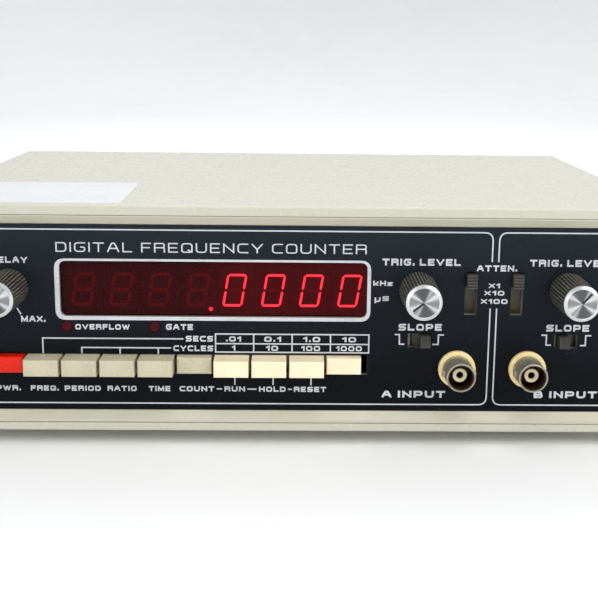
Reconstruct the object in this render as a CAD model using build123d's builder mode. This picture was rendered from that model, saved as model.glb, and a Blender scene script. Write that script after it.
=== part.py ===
from build123d import *
import math
import os

os.makedirs("parts", exist_ok=True)

# Bench frequency counter with push-button function keys, a red digital display and two inputs.
# Millimetres, +Z up, the front faces -Y. The origin is at table height, midway between the sides
# and midway between the foremost knob face and the rearmost fuse cap.

# Case
case_width = 254.0
case_height = 76.2
case_depth = 178.0
cover_wall = 3.1
cover_top_wall = 3.25
cover_bottom_wall = 2.9
cover_long_radius = 4.0
cover_end_radius = 0.8
foot_height = 5.0
foot_radius = 8.0
foot_inset_x = 27.0
foot_inset_y = 38.0
foot_edge = 0.8
foot_edge_height = 1.0
stud_radius = 2.4
stud_fit = 0.05
stud_barb = 0.7
stud_tip = 0.6
stud_length = 2.4
vent_length = 40.0
vent_width = 2.2
vent_pitch = 7.0
vent_count = 9
rear_vent_length = 28.0
weld = 0.5

# Bezel and panels
seam = 0.12
bezel_depth = 9.0
bezel_side_strip = 5.0
bezel_top_strip = 3.1
bezel_bottom_strip = 3.85
bezel_bevel = 2.7
bezel_edge = 0.3
panel_recess = 2.0
panel_thickness = 1.6
panel_lap = 2.4
groove_depth = 1.2
flange_start = 4.0
flange_thickness = 2.6
rear_inset = 3.0
rear_thickness = 2.0
slip = 0.15

# Display
window_width = 101.1
window_height = 18.6
window_left = -75.65
window_bottom = 38.95
window_corner_radius = 2.1
window_thickness = 2.0
window_side_lap = 2.5
window_end_lap = 0.75
digit_count = 8
digit_pitch = 12.65
digit_centre_x = -24.2
digit_centre_z = 47.2
digit_gap = 0.8
digit_module = (12.3, 7.0, 17.0)
display_board_thickness = 1.6
display_board_margin = 7.0
display_board_below_lamps = 1.5
spacer_radius = 2.5
lamp_x = (-73.6, -44.65)
lamp_z = 35.5
lamp_radius = 1.8
lamp_flange_radius = 2.2
lamp_fit = 0.1
lamp_stand = 0.5
lamp_dome = 0.5
lamp_body = 5.0
lead_radius = 0.3
lead_half = 0.9

# Push buttons
button_names = ("power", "freq", "period", "ratio", "time", "count", "run", "hold", "reset", "thousand")
latched_in = ("power", "count", "thousand")
button_pitch = 12.4
first_button_x = -93.6
cap_width = 11.4
cap_height = 5.55
cap_length = 11.2
cap_centre_z = 23.17
cap_out = 8.0
button_travel = 4.4
cap_gap_above = 0.3
cap_gap_below = 0.9
cap_edge = 0.45
slot_left_margin = 0.6
slot_right_margin = 2.2
stem_side = 3.0
stem_fit = 0.08
stem_hole_gap = 0.5
module_width = 11.0
module_height = 11.0
module_length = 26.0
switch_plate = 1.0
plate_behind_cap = 1.4
plate_above_modules = 1.0
leg_width = 4.0
stem_past_module = 1.0

# Rotary controls
delay_x = -91.85
trigger_a_x = 42.1
trigger_b_x = 91.85
knob_z = 48.7
knob_length = 20.0
knob_gap = 0.6
knob_base_radius = 6.3
knob_taper = 1.2
knob_flutes = 34
flute_radius = 0.32
knob_cap_thickness = 1.2
knob_cap_radius = 5.8
knob_bevel = 0.5
pointer_width = 0.5
pointer_length = 4.3
pointer_start = 0.1
pointer_depth = 0.35
pointer_angles = {"delay": 240.0, "trigger_a": 218.0, "trigger_b": 50.0}
shaft_radius = 1.55
shaft_reach = 15.0
shaft_fit = 0.05
bushing_radius = 3.1
bushing_reach = 3.0
bushing_fit = 0.1
pot_radius = 4.8
pot_length = 9.0
pot_nut_flats = 8.0
pot_nut_thickness = 1.8
pot_tag = (0.8, 0.6, 4.0)
pot_tag_pitch = 2.5
pot_tag_back = 5.0
knob_recess_radius = 5.0
knob_recess_depth = 3.4

# Slide switches
atten_x = (59.75, 75.0)
atten_z = 47.55
atten_slot = (4.0, 14.5)
atten_knob = (3.4, 4.6, 3.1)
atten_travel = 8.8
slope_x = (43.2, 92.1)
slope_z = 31.4
slope_slot = (7.8, 4.8)
slope_knob = (3.2, 4.0, 2.8)
slope_travel = 2.6
slope_offset = 0.45
slider_gap = 0.3
slider_plate = 2.4
slider_plate_lap = 4.9
switch_front = 1.0
switch_side = 1.6
switch_floor = 3.4
finger_ribs = 5
plate_lap_side = 0.85

# Coaxial inputs
input_x = (55.95, 79.6)
input_z = 21.75
barrel_radius = 4.83
barrel_bore = 4.05
barrel_length = 11.2
barrel_bore_depth = 8.6
barrel_edge = 0.3
shoulder_radius = 4.95
shoulder_length = 1.2
lug_radius = 1.0
lug_height = 0.7
lug_back = 5.2
washer_radius = 6.25
washer_thickness = 1.6
washer_edge = 0.4
thread_radius = 4.7
thread_length = 9.0
thread_fit = 0.1
input_nut_flats = 12.7
input_nut_thickness = 2.5
core_radius = 2.3
core_bore = 1.2
core_back = 3.4
contact_back = 1.0
contact_bore = 0.9
contact_bore_depth = 6.0
contact_fit = 0.03
tail_radius = 0.8
tail_length = 4.0

# Inside
board_thickness = 1.6
board_standoff = 6.3
board_margin = 10.0
board_front_gap = 9.0
board_rear_gap = 16.0
standoff_radius = 3.5
standoff_inset = 4.5
board_screw_radius = 1.2
screw_fit = 0.05
board_hole_gap = 0.2
board_screw_head = 2.6
board_screw_head_height = 1.8
board_screw_bite = 5.0
case_screw_inset = 9.0
case_boss_radius = 4.2
case_screw_radius = 1.45
case_screw_head = 3.1
case_screw_head_height = 2.4
case_screw_pocket = 6.0
case_screw_bite = 12.0
case_screw_gap = 0.4
case_head_gap = 0.3
driver_slot = (0.8, 0.9)
tapped_extra = 2.0
core_width = 48.0
core_stack = 18.0
core_height = 40.0
core_leg = 8.0
winding_overhang = 8.0
winding_gap = 0.15
winding_corner = 3.0
transformer_x = -78.0
transformer_back_gap = 42.0
can_radius = 8.0
can_height = 25.0
can_gap = 14.0
can_half_pitch = 11.0
chip_size = (7.6, 19.0, 4.4)
chip_row_room = 22.0
chip_columns = 5
chip_column_pitch = 16.0
chip_first_x = -2.0
chip_behind_keys = 18.0
chip_lead = (0.4, 0.5, 1.0)
crystal_size = (11.2, 4.6, 13.5)
crystal_corner = 2.2
crystal_x = -20.0
sink_size = (30.0, 18.0, 24.0)
sink_wall = 1.5
sink_column = 2
sink_rear_gap = 14.0
tab_size = (10.2, 1.3, 15.0)
tab_lift = 6.0
tab_body = (3.3, 9.0)

# Rear fittings
fuse_x = -100.0
rear_fitting_z = 38.0
fuse_body_radius = 6.0
fuse_body_length = 30.0
fuse_flange_radius = 7.5
fuse_flange_thickness = 2.0
fuse_cap_radius = 6.2
fuse_cap_length = 8.0
fuse_bore_radius = 4.2
fuse_radius = 2.5
fuse_length = 20.0
fuse_nut_thickness = 3.0
fuse_nut_gap = 0.2
fuse_floor = 2.0
fuse_seat_depth = 3.0
fuse_seat_gap = 0.02
plug_length = 5.0
plug_fit = 0.08
fuse_cap_seam = 0.05
fuse_cap_edge = 0.8
fuse_cap_slot = (1.2, 1.2)
gland_x = 98.0
gland_bore_radius = 4.0
gland_body_radius = 6.2
gland_flange_radius = 8.5
gland_flange_thickness = 5.0
gland_nut_flats = 15.0
gland_nut_thickness = 3.0
gland_edge = 1.5
gland_past_nut = 3.0
fitting_fit = 0.1

# Planes and levels that follow from the sizes above. Heights named *_z above are measured from
# the underside of the case and become absolute heights here.
front_reach = knob_length - panel_recess
rear_reach = fuse_flange_thickness + fuse_cap_length - rear_inset
case_front = front_reach - (front_reach + case_depth + rear_reach) / 2
case_back = case_front + case_depth
case_bottom = foot_height
case_top = case_bottom + case_height
split_z = case_bottom + case_height / 2
inner_x = case_width / 2 - cover_wall
inner_bottom = case_bottom + cover_bottom_wall
inner_top = case_top - cover_top_wall
panel_front = case_front + panel_recess
panel_back = panel_front + panel_thickness
rear_outer = case_back - rear_inset
rear_inner = rear_outer - rear_thickness
board_bottom = inner_bottom + board_standoff
board_top = board_bottom + board_thickness
button_xs = [first_button_x + i * button_pitch for i in range(len(button_names))]
cap_z = case_bottom + cap_centre_z
slot_bottom = cap_z - cap_height / 2 - cap_gap_below
slot_top = cap_z + cap_height / 2 + cap_gap_above
slot_left = button_xs[0] - cap_width / 2 - slot_left_margin
slot_right = button_xs[-1] + cap_width / 2 + slot_right_margin
plate_y = panel_front - cap_out + cap_length + button_travel + plate_behind_cap
knob_height = case_bottom + knob_z
input_height = case_bottom + input_z
window_right = window_left + window_width
window_z0 = case_bottom + window_bottom
window_z1 = window_z0 + window_height
window_back = panel_back + window_thickness
digits_y = window_back + digit_gap
digit_z = case_bottom + digit_centre_z
display_board_y = digits_y + digit_module[1]
bezel_x = inner_x - seam
bezel_z0 = inner_bottom + seam
bezel_z1 = inner_top - seam
opening_x = bezel_x - bezel_side_strip
opening_z0 = bezel_z0 + bezel_bottom_strip
opening_z1 = bezel_z1 - bezel_top_strip
screw_xs = (case_screw_inset - inner_x, inner_x - case_screw_inset)
screw_ys = (case_front + bezel_depth + case_screw_inset, rear_inner - case_screw_inset)
foot_xs = (-(case_width / 2 - foot_inset_x), case_width / 2 - foot_inset_x)
foot_ys = (case_front + foot_inset_y, case_back - foot_inset_y)
board_x = inner_x - board_margin - case_screw_inset
board_y0 = panel_back + board_front_gap
board_y1 = rear_inner - board_rear_gap
standoff_xs = (standoff_inset - board_x, board_x - standoff_inset)
standoff_ys = (board_y0 + standoff_inset, board_y1 - standoff_inset)
fitting_height = case_bottom + rear_fitting_z
lip = groove_depth - slip
module_y0 = plate_y + switch_plate
module_y1 = module_y0 + module_length
first_chip_y = module_y1 + chip_behind_keys
sink_y0 = board_y1 - sink_rear_gap - sink_size[1] / 2
sink_y1 = sink_y0 + sink_size[1]
chip_rows = int((sink_y0 - first_chip_y) // chip_row_room)
chip_row_pitch = (sink_y0 - first_chip_y) / chip_rows


def block(x0, x1, y0, y1, z0, z1, mode=Mode.ADD):
    """A box given by the planes of its six faces, in the piece being built."""
    with Locations(((x0 + x1) / 2, (y0 + y1) / 2, (z0 + z1) / 2)):
        Box(x1 - x0, y1 - y0, z1 - z0, mode=mode)


def rod_y(x, z, radius, y0, y1, mode=Mode.ADD):
    """A cylinder along Y between two planes."""
    with Locations(Location((x, (y0 + y1) / 2, z), (90, 0, 0))):
        Cylinder(radius, y1 - y0, mode=mode)


def rod_z(x, y, radius, z0, z1, mode=Mode.ADD):
    """A cylinder along Z between two heights."""
    with Locations((x, y, (z0 + z1) / 2)):
        Cylinder(radius, z1 - z0, mode=mode)


def front_plane(x, y, z):
    """A sketch plane that faces the user, with X to the right and Z up."""
    return Plane(origin=(x, y, z), x_dir=(1, 0, 0), z_dir=(0, -1, 0))


def ends(centre, length):
    """The two ends of a length centred on a coordinate: centre - length / 2, centre + length / 2."""
    return centre - length / 2, centre + length / 2


def save(piece, name):
    """Label the piece and write it as a STEP file."""
    piece.part.label = name
    export_step(piece.part, f"parts/{name}.step")


# Clamshell covers. Each is a trough with rounded outside edges and grooves that hold the bezel
# flange and the rear panel between them.
def cover_shell(outer_z, inner_z):
    """One half of the case between the split plane and outer_z, hollow up to inner_z."""
    low = min(split_z, outer_z)
    high = max(split_z, outer_z)
    block(-case_width / 2, case_width / 2, case_front, case_back, low, high)
    long_edges = edges().filter_by(Axis.Y).filter_by(lambda e: abs(e.center().Z - outer_z) < 0.01)
    fillet(long_edges, cover_long_radius)
    end_edges = [
        e
        for face in (faces().sort_by(Axis.Y)[0], faces().sort_by(Axis.Y)[-1])
        for e in face.edges()
        if abs(e.center().Z - split_z) > 0.01
    ]
    fillet(end_edges, cover_end_radius)
    hollow = sorted((split_z, inner_z))
    block(-inner_x, inner_x, case_front, case_back, hollow[0], hollow[1], Mode.SUBTRACT)
    side = math.copysign(groove_depth, inner_z - split_z)
    groove = sorted((split_z, inner_z + side))
    grooves = (
        (case_front + flange_start - slip, case_front + flange_start + flange_thickness + slip),
        (rear_inner - slip, rear_outer + slip),
    )
    for y0, y1 in grooves:
        x = inner_x + groove_depth
        block(-x, x, y0, y1, groove[0], groove[1], Mode.SUBTRACT)


with BuildPart() as top_cover:
    cover_shell(case_top, inner_top)
    for x in screw_xs:
        for y in screw_ys:
            rod_z(x, y, case_boss_radius, split_z, inner_top + weld)
            tapped_top = split_z + case_screw_bite + tapped_extra
            rod_z(x, y, case_screw_radius + screw_fit, split_z, tapped_top, Mode.SUBTRACT)
save(top_cover, "top_cover")

with BuildPart() as bottom_cover:
    cover_shell(case_bottom, inner_bottom)
    for x in screw_xs:
        for y in screw_ys:
            rod_z(x, y, case_boss_radius, inner_bottom - weld, split_z)
            rod_z(x, y, case_screw_radius + case_screw_gap, case_bottom, split_z, Mode.SUBTRACT)
            pocket_top = case_bottom + case_screw_pocket
            rod_z(x, y, case_screw_head + case_head_gap, case_bottom, pocket_top, Mode.SUBTRACT)
    for x in standoff_xs:
        for y in standoff_ys:
            rod_z(x, y, standoff_radius, inner_bottom - weld, board_bottom)
            rod_z(x, y, board_screw_radius + screw_fit, inner_bottom, board_bottom, Mode.SUBTRACT)
    for x in foot_xs:
        for y in foot_ys:
            rod_z(x, y, stud_radius + stud_fit, case_bottom, inner_bottom, Mode.SUBTRACT)
    for i in range(vent_count):
        x0, x1 = ends((i - (vent_count - 1) / 2) * vent_pitch, vent_width)
        y0, y1 = ends((case_front + case_back) / 2, vent_length)
        block(x0, x1, y0, y1, case_bottom, inner_bottom, Mode.SUBTRACT)
save(bottom_cover, "bottom_cover")

with BuildPart() as case_screws:
    for x in screw_xs:
        for y in screw_ys:
            seat = case_bottom + case_screw_pocket
            rod_z(x, y, case_screw_head, seat - case_screw_head_height, seat)
            rod_z(x, y, case_screw_radius, seat, split_z + case_screw_bite)
            x0, x1 = ends(x, driver_slot[0])
            y0, y1 = ends(y, 2 * case_screw_head)
            slot_z = seat - case_screw_head_height
            block(x0, x1, y0, y1, slot_z, slot_z + driver_slot[1], Mode.SUBTRACT)
save(case_screws, "case_screws")

# Push-in rubber feet: a tapered pad with a barbed stud through the bottom cover.
with BuildPart() as feet:
    for x in foot_xs:
        for y in foot_ys:
            with BuildSketch(Plane(origin=(x, y, 0), x_dir=(1, 0, 0), z_dir=(0, -1, 0))):
                with BuildLine():
                    Polyline(
                        (0, 0),
                        (foot_radius - foot_edge, 0),
                        (foot_radius, foot_edge_height),
                        (foot_radius, foot_height),
                        (stud_radius, foot_height),
                        (stud_radius, inner_bottom),
                        (stud_radius + stud_barb, inner_bottom),
                        (stud_radius - stud_tip, inner_bottom + stud_length),
                        (0, inner_bottom + stud_length),
                        close=True,
                    )
                make_face()
            revolve(axis=Axis((x, y, 0), (0, 0, 1)))
save(feet, "feet")

# Moulded bezel: a picture frame with a bevelled lip, whose flange sits in the cover grooves, with
# a step behind the lip for the front panel.
with BuildPart() as front_bezel:
    block(-bezel_x, bezel_x, case_front, case_front + bezel_depth, bezel_z0, bezel_z1)
    fillet(edges().group_by(Axis.Y)[0], bezel_edge)
    flange_y = case_front + flange_start
    block(-inner_x - lip, inner_x + lip, flange_y, flange_y + flange_thickness,
          inner_bottom - lip, inner_top + lip)
    block(-opening_x, opening_x, case_front, case_front + bezel_depth, opening_z0, opening_z1,
          Mode.SUBTRACT)
    with BuildSketch(front_plane(0, panel_front, (opening_z0 + opening_z1) / 2)):
        Rectangle(2 * opening_x, opening_z1 - opening_z0)
    slope = math.degrees(math.atan2(bezel_bevel, panel_recess))
    extrude(amount=panel_recess, taper=-slope, mode=Mode.SUBTRACT)
    block(-opening_x - panel_lap, opening_x + panel_lap, panel_front, case_front + bezel_depth,
          opening_z0 - panel_lap, opening_z1 + panel_lap, Mode.SUBTRACT)
save(front_bezel, "front_bezel")

# Front panel: painted sheet with every opening for the controls behind it.
panel_x = opening_x + panel_lap - slip
with BuildPart() as front_panel:
    block(-panel_x, panel_x, panel_front, panel_back,
          opening_z0 - panel_lap + slip, opening_z1 + panel_lap - slip)
    block(window_left, window_right, panel_front, panel_back, window_z0, window_z1, Mode.SUBTRACT)
    fillet(
        edges().filter_by(Axis.Y).filter_by(
            lambda e: window_left - slip < e.center().X < window_right + slip
            and window_z0 - slip < e.center().Z < window_z1 + slip
        ),
        window_corner_radius,
    )
    block(slot_left, slot_right, panel_front, panel_back, slot_bottom, slot_top, Mode.SUBTRACT)
    for x in lamp_x:
        rod_y(x, case_bottom + lamp_z, lamp_radius + lamp_fit, panel_front, panel_back, Mode.SUBTRACT)
    for x in (delay_x, trigger_a_x, trigger_b_x):
        rod_y(x, knob_height, bushing_radius + bushing_fit, panel_front, panel_back, Mode.SUBTRACT)
    for x in atten_x:
        x0, x1 = ends(x, atten_slot[0])
        z0, z1 = ends(case_bottom + atten_z, atten_slot[1])
        block(x0, x1, panel_front, panel_back, z0, z1, Mode.SUBTRACT)
    for x in slope_x:
        x0, x1 = ends(x, slope_slot[0])
        z0, z1 = ends(case_bottom + slope_z, slope_slot[1])
        block(x0, x1, panel_front, panel_back, z0, z1, Mode.SUBTRACT)
    for x in input_x:
        rod_y(x, input_height, thread_radius + thread_fit, panel_front, panel_back, Mode.SUBTRACT)
save(front_panel, "front_panel")

with BuildPart() as rear_panel:
    block(-inner_x - lip, inner_x + lip, rear_inner, rear_outer, inner_bottom - lip, inner_top + lip)
    rod_y(fuse_x, fitting_height, fuse_body_radius + fitting_fit, rear_inner, rear_outer, Mode.SUBTRACT)
    rod_y(gland_x, fitting_height, gland_body_radius + fitting_fit, rear_inner, rear_outer, Mode.SUBTRACT)
    for i in range(vent_count):
        x0, x1 = ends((i - (vent_count - 1) / 2) * vent_pitch, vent_width)
        z0, z1 = ends(split_z, rear_vent_length)
        block(x0, x1, rear_inner, rear_outer, z0, z1, Mode.SUBTRACT)
save(rear_panel, "rear_panel")

# Display: red filter, eight seven-segment modules on their board, spacers and the two lamps.
with BuildPart() as display_window:
    block(window_left - window_side_lap, window_right + window_side_lap, panel_back, window_back,
          window_z0 - window_end_lap, window_z1 + window_side_lap)
save(display_window, "display_window")

digit_xs = [digit_centre_x + (i - (digit_count - 1) / 2) * digit_pitch for i in range(digit_count)]
with BuildPart() as led_digits:
    for x in digit_xs:
        x0, x1 = ends(x, digit_module[0])
        z0, z1 = ends(digit_z, digit_module[2])
        block(x0, x1, digits_y, display_board_y, z0, z1)
save(led_digits, "led_digits")

display_x0 = window_left - display_board_margin
display_x1 = window_right + display_board_margin
display_z0 = case_bottom + lamp_z - display_board_below_lamps
display_z1 = window_z1 + display_board_margin
with BuildPart() as display_board:
    block(display_x0, display_x1, display_board_y, display_board_y + display_board_thickness,
          display_z0, display_z1)
save(display_board, "display_board")

spacer_spots = [
    (x, z)
    for x in (display_x0 + spacer_radius, display_x1 - spacer_radius)
    for z in (display_z0 + spacer_radius, display_z1 - spacer_radius)
]
with BuildPart() as display_spacers:
    for x, z in spacer_spots:
        rod_y(x, z, spacer_radius - slip, panel_back, display_board_y)
save(display_spacers, "display_spacers")

with BuildPart() as indicator_lamps:
    for x in lamp_x:
        z = case_bottom + lamp_z
        rod_y(x, z, lamp_radius, panel_front - lamp_stand, panel_back)
        rod_y(x, z, lamp_flange_radius, panel_back, panel_back + lamp_body)
        for side in (-lead_half, lead_half):
            rod_y(x + side, z, lead_radius, panel_back + lamp_body, display_board_y)
    fillet(edges().filter_by(GeomType.CIRCLE).group_by(Axis.Y)[0], lamp_dome)
save(indicator_lamps, "indicator_lamps")

# Push-button bank: a steel frame carries one switch module per key. Each key is a cap moulded on
# a square stem that slides in its module.
module_z0 = cap_z - module_height / 2
frame_x0 = button_xs[0] - button_pitch / 2
frame_x1 = button_xs[-1] + button_pitch / 2
frame_middle = (frame_x0 + frame_x1 - leg_width) / 2
with BuildPart() as switch_frame:
    block(frame_x0, frame_x1, plate_y, module_y0, module_z0 - switch_plate,
          module_z0 + module_height + plate_above_modules)
    block(frame_x0, frame_x1, module_y0, module_y1, module_z0 - switch_plate, module_z0)
    for x0 in (frame_x0 + leg_width, frame_middle, frame_x1 - 2 * leg_width):
        block(x0, x0 + leg_width, module_y0, module_y1, board_top, module_z0 - switch_plate)
    for x in button_xs:
        half = stem_side / 2 + stem_hole_gap
        block(x - half, x + half, plate_y, module_y0, cap_z - half, cap_z + half, Mode.SUBTRACT)
save(switch_frame, "switch_frame")

with BuildPart() as switch_modules:
    for x in button_xs:
        half = stem_side / 2 + stem_fit
        x0, x1 = ends(x, module_width)
        block(x0, x1, module_y0, module_y1, module_z0, module_z0 + module_height)
        block(x - half, x + half, module_y0, module_y1, cap_z - half, cap_z + half, Mode.SUBTRACT)
save(switch_modules, "switch_modules")

for name, x in zip(button_names, button_xs):
    pushed = button_travel if name in latched_in else 0.0
    front = panel_front - cap_out + pushed
    with BuildPart() as button:
        x0, x1 = ends(x, cap_width)
        z0, z1 = ends(cap_z, cap_height)
        block(x0, x1, front, front + cap_length, z0, z1)
        fillet(edges().group_by(Axis.Y)[0], cap_edge)
        x0, x1 = ends(x, stem_side)
        z0, z1 = ends(cap_z, stem_side)
        block(x0, x1, front + cap_length, module_y1 + stem_past_module + pushed, z0, z1)
    save(button, f"button_{name}")

# Rotary controls: potentiometers behind the panel, each with a shaft, fluted knob and turned
# metal cap that turn together.
controls = {"delay": delay_x, "trigger_a": trigger_a_x, "trigger_b": trigger_b_x}
with BuildPart() as potentiometers:
    for x in controls.values():
        rod_y(x, knob_height, pot_radius, panel_back, panel_back + pot_length)
        rod_y(x, knob_height, bushing_radius, panel_front - bushing_reach, panel_back)
        rod_y(x, knob_height, shaft_radius + shaft_fit, panel_front - bushing_reach,
              panel_back + pot_length / 2, Mode.SUBTRACT)
        for side in (-1, 0, 1):
            x0, x1 = ends(x + side * pot_tag_pitch, pot_tag[0])
            y0 = panel_back + pot_tag_back
            z1 = knob_height - pot_radius + weld
            block(x0, x1, y0, y0 + pot_tag[1], z1 - weld - pot_tag[2], z1)
save(potentiometers, "potentiometers")

for name, x in controls.items():
    with BuildPart() as shaft:
        rod_y(x, knob_height, shaft_radius, panel_front - shaft_reach, panel_back + pot_length / 2 - seam)
    save(shaft, f"{name}_shaft")

    knob_back = panel_front - knob_gap
    knob_front = panel_front - knob_length + knob_cap_thickness
    with BuildPart() as knob:
        with BuildSketch(front_plane(x, knob_back, knob_height)):
            Circle(knob_base_radius)
            with PolarLocations(knob_base_radius, knob_flutes):
                Circle(flute_radius, mode=Mode.SUBTRACT)
        extrude(amount=knob_back - knob_front, taper=knob_taper)
        recess_y = knob_back - knob_recess_depth
        rod_y(x, knob_height, knob_recess_radius, recess_y, knob_back, Mode.SUBTRACT)
        bore_y = panel_front - shaft_reach - slip
        rod_y(x, knob_height, shaft_radius + shaft_fit, bore_y, knob_back, Mode.SUBTRACT)
    save(knob, f"{name}_knob")

    face_y = panel_front - knob_length
    with BuildPart() as knob_cap:
        rod_y(x, knob_height, knob_cap_radius, face_y, knob_front)
        chamfer(edges().group_by(Axis.Y)[0], knob_bevel)
        with BuildSketch(front_plane(x, face_y, knob_height)):
            with Locations(Rot(0, 0, pointer_angles[name])):
                with Locations((pointer_length / 2 + pointer_start, 0)):
                    Rectangle(pointer_length, pointer_width)
        extrude(amount=-pointer_depth, mode=Mode.SUBTRACT)
    save(knob_cap, f"{name}_knob_cap")


# Slide switches. The housing has a window behind the panel slot and a wider cavity behind it; the
# slider is a ribbed finger piece on a plate that runs in the cavity.
def slide_housing(x, z, window, cavity):
    """A switch body centred on (x, z) with its window and cavity, each given as (width, height)."""
    depth = switch_front + slider_plate + 2 * slider_gap + switch_floor
    outer = (cavity[0] / 2 + switch_side, cavity[1] / 2 + switch_side)
    y0 = panel_back
    cavity_y = y0 + switch_front
    floor_y = cavity_y + slider_plate + 2 * slider_gap
    block(x - outer[0], x + outer[0], y0, y0 + depth, z - outer[1], z + outer[1])
    x0, x1 = ends(x, cavity[0])
    z0, z1 = ends(z, cavity[1])
    block(x0, x1, cavity_y, floor_y, z0, z1, Mode.SUBTRACT)
    x0, x1 = ends(x, window[0])
    z0, z1 = ends(z, window[1])
    block(x0, x1, y0, cavity_y, z0, z1, Mode.SUBTRACT)


def slide_finger(x, z, finger, plate, ribs_along_x):
    """The finger piece (width, height, stand-out) and its plate (width, height), centred on (x, z)."""
    plate_y0 = panel_back + switch_front + slider_gap
    tip = panel_front - finger[2]
    x0, x1 = ends(x, plate[0])
    z0, z1 = ends(z, plate[1])
    block(x0, x1, plate_y0, plate_y0 + slider_plate, z0, z1)
    x0, x1 = ends(x, finger[0])
    z0, z1 = ends(z, finger[1])
    block(x0, x1, tip, plate_y0, z0, z1)
    span = finger[1] if ribs_along_x else finger[0]
    groove = span / (2 * finger_ribs - 1)
    for i in range(finger_ribs - 1):
        offset = (i + 1 - finger_ribs / 2) * 2 * groove
        if ribs_along_x:
            groove_z0, groove_z1 = ends(z + offset, groove)
            block(x0, x1, tip, tip + groove, groove_z0, groove_z1, Mode.SUBTRACT)
        else:
            groove_x0, groove_x1 = ends(x + offset, groove)
            block(groove_x0, groove_x1, tip, tip + groove, z0, z1, Mode.SUBTRACT)


atten_height = case_bottom + atten_z
atten_plate = (atten_knob[0] + 2 * plate_lap_side, atten_knob[1] + 2 * slider_plate_lap)
atten_cavity = (atten_plate[0] + 2 * slider_gap, atten_plate[1] + atten_travel + 2 * slider_gap)
with BuildPart() as atten_switches:
    for x in atten_x:
        slide_housing(x, atten_height, atten_slot, atten_cavity)
save(atten_switches, "atten_switches")
for name, x in zip(("a", "b"), atten_x):
    with BuildPart() as slider:
        slide_finger(x, atten_height + atten_travel / 2, atten_knob, atten_plate, True)
    save(slider, f"atten_{name}_slider")

slope_height = case_bottom + slope_z
slope_plate = (slope_knob[0] + slider_plate_lap, slope_knob[1] + 2 * plate_lap_side)
slope_cavity = (slope_plate[0] + slope_travel + 2 * slider_gap, slope_plate[1] + 2 * slider_gap)
slope_window = (slope_slot[0] - 2 * slope_offset, slope_slot[1])
with BuildPart() as slope_switches:
    for x in slope_x:
        slide_housing(x + slope_offset, slope_height, slope_window, slope_cavity)
save(slope_switches, "slope_switches")
for name, x, side in (("a", slope_x[0], 1), ("b", slope_x[1], -1)):
    middle = x + slope_offset + side * slope_travel / 2
    with BuildPart() as slider:
        slide_finger(middle, slope_height, slope_knob, slope_plate, False)
    save(slider, f"slope_{name}_slider")

# Coaxial bayonet inputs: plated shell, moulded washer, dielectric core, contact tube and nut.
shoulder_y = panel_front - washer_thickness
ring_y = panel_front - barrel_length
thread_end = panel_back + thread_length
for name, x in zip(("a", "b"), input_x):
    with BuildPart() as shell:
        rod_y(x, input_height, barrel_radius, ring_y, shoulder_y)
        fillet(edges().filter_by(GeomType.CIRCLE).group_by(Axis.Y)[0], barrel_edge)
        rod_y(x, input_height, shoulder_radius, shoulder_y - shoulder_length, shoulder_y)
        rod_y(x, input_height, thread_radius, shoulder_y, thread_end)
        with Locations(Location((x, ring_y + lug_back, input_height), (0, 90, 0))):
            Cylinder(lug_radius, 2 * (barrel_radius + lug_height))
        rod_y(x, input_height, barrel_bore, ring_y, ring_y + barrel_bore_depth, Mode.SUBTRACT)
        rod_y(x, input_height, core_radius + fitting_fit, ring_y, thread_end, Mode.SUBTRACT)
    save(shell, f"input_{name}_shell")

with BuildPart() as input_cores:
    for x in input_x:
        rod_y(x, input_height, core_radius, ring_y + core_back, thread_end)
        rod_y(x, input_height, core_bore, ring_y + core_back, thread_end, Mode.SUBTRACT)
save(input_cores, "input_cores")

with BuildPart() as input_contacts:
    for x in input_x:
        tip = ring_y + core_back + contact_back
        rod_y(x, input_height, core_bore - contact_fit, tip, thread_end)
        rod_y(x, input_height, contact_bore, tip, tip + contact_bore_depth, Mode.SUBTRACT)
        rod_y(x, input_height, tail_radius, thread_end, thread_end + tail_length)
save(input_contacts, "input_contacts")

with BuildPart() as input_washers:
    for x in input_x:
        rod_y(x, input_height, washer_radius, shoulder_y, panel_front)
    fillet(edges().filter_by(GeomType.CIRCLE).group_by(Axis.Y)[0], washer_edge)
    for x in input_x:
        rod_y(x, input_height, thread_radius + thread_fit, shoulder_y, panel_front, Mode.SUBTRACT)
save(input_washers, "input_washers")

# Main board with its screws, logic chips, reference crystal, reservoir capacitors, regulator on a
# folded heat sink, and the mains transformer.
with BuildPart() as main_board:
    block(-board_x, board_x, board_y0, board_y1, board_bottom, board_top)
    for x in standoff_xs:
        for y in standoff_ys:
            rod_z(x, y, board_screw_radius + board_hole_gap, board_bottom, board_top, Mode.SUBTRACT)
save(main_board, "main_board")

with BuildPart() as board_screws:
    for x in standoff_xs:
        for y in standoff_ys:
            rod_z(x, y, board_screw_radius, board_bottom - board_screw_bite, board_top)
            rod_z(x, y, board_screw_head, board_top, board_top + board_screw_head_height)
save(board_screws, "board_screws")

with BuildPart() as logic_chips:
    for column in range(chip_columns):
        for row in range(chip_rows):
            x = chip_first_x + column * chip_column_pitch
            y = first_chip_y + row * chip_row_pitch
            body_z = board_top + chip_lead[1]
            x0, x1 = ends(x, chip_size[0])
            y0, y1 = ends(y, chip_size[1])
            block(x0, x1, y0, y1, body_z, body_z + chip_size[2])
            for lead_x in (x0, x1 - chip_lead[0]):
                block(lead_x, lead_x + chip_lead[0], y0 + chip_lead[2], y1 - chip_lead[2], board_top, body_z)
save(logic_chips, "logic_chips")

with BuildPart() as reference_crystal:
    x0, x1 = ends(crystal_x, crystal_size[0])
    y0, y1 = ends(first_chip_y, crystal_size[1])
    block(x0, x1, y0, y1, board_top, board_top + crystal_size[2])
    fillet(edges().filter_by(Axis.Z), crystal_corner)
save(reference_crystal, "reference_crystal")

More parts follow.
